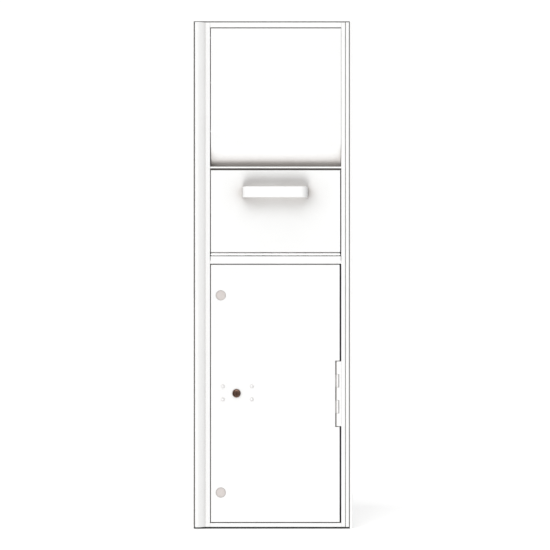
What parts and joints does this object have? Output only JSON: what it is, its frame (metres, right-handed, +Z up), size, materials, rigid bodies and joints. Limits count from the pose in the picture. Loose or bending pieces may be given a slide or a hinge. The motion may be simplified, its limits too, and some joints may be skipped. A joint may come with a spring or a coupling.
{
  "type": "recessed parcel drop box",
  "caption": "Tall white recessed collection box with a pull-down parcel hopper above a locked lower door.",
  "frame": {"origin": "middle of the lower edge of the wall flange's back face", "axes": "+X to the right seen from the front, +Y into the wall, +Z up"},
  "size_m": [0.424, 0.466, 1.3526],
  "materials": {
    "white_coat": "fine satin powder coat, white",
    "inner_coat": "satin powder coat, off-white",
    "zinc_steel": "zinc plated",
    "hinge_steel": "satin steel",
    "black_rubber": "matt",
    "plug_plastic": "matt moulded",
    "lock_bronze": "dark bronze, worn"
  },
  "bodies": {
    "cabinet": {"wall_flange": "white_coat", "sealing_bead": "black_rubber", "left_trim": "white_coat", "right_trim": "white_coat", "left_stile": "white_coat", "right_stile": "white_coat", "top_rail": "white_coat", "bottom_rail": "white_coat", "middle_rail": "white_coat", "hopper_ledge": "white_coat", "upper_panel": "white_coat", "panel_screws": "zinc_steel", "cabinet_left_side": "inner_coat", "cabinet_right_side": "inner_coat", "cabinet_top": "inner_coat", "cabinet_floor": "inner_coat", "cabinet_back": "inner_coat", "cabinet_rivets": "zinc_steel", "hopper_shroud": "inner_coat", "hopper_hinge_fixed_leaf": "hinge_steel", "hopper_hinge_pin": "zinc_steel", "hopper_bumpers": "black_rubber", "door_hinge_fixed_leaf": "white_coat", "door_hinge_pin": "zinc_steel", "door_stop": "inner_coat", "door_stop_pads": "black_rubber"},
    "hopper": {"hopper_door": "white_coat", "hopper_left_cheek": "inner_coat", "hopper_right_cheek": "inner_coat", "hopper_tray": "inner_coat", "tray_rivets": "zinc_steel", "hopper_hinge_moving_leaf": "hinge_steel", "hopper_stop_pins": "zinc_steel", "stop_pin_sleeves": "black_rubber", "pull_handle": "white_coat", "handle_screws": "zinc_steel"},
    "lower_door": {"lower_door": "white_coat", "door_stiffeners": "inner_coat", "door_hinge_moving_leaf": "white_coat", "hole_plugs": "plug_plastic", "lock_rivets": "white_coat", "lock_case": "zinc_steel", "lock_case_cover": "zinc_steel", "lock_cylinder": "lock_bronze", "lock_nut": "zinc_steel"},
    "lock_plug": {"lock_plug": "lock_bronze", "lock_crank": "zinc_steel"},
    "lock_bolt": {"lock_bolt": "zinc_steel"}
  },
  "joints": [
    {"name": "hopper_tilt", "type": "hinge", "parent": "cabinet", "child": "hopper", "pos_m": [0.0073, -0.0038, 0.7314], "axis": [1, 0, 0], "range_deg": [0, 45]},
    {"name": "door_swing", "type": "hinge", "parent": "cabinet", "child": "lower_door", "pos_m": [0.1729, -0.0038, 0.35965], "axis": [0, 0, 1], "range_deg": [0, 100]},
    {"name": "key_turn", "type": "hinge", "parent": "lower_door", "child": "lock_plug", "pos_m": [-0.0967, 0, 0.361], "axis": [0, 1, 0], "range_deg": [0, 90]},
    {"name": "bolt_slide", "type": "slide", "parent": "lower_door", "child": "lock_bolt", "axis": [-1, 0, 0], "range_m": [0, 0.014]}
  ],
  "couplings": [
    {"joint": "key_turn", "follows": "bolt_slide", "rad_per_m": 112.19}
  ]
}
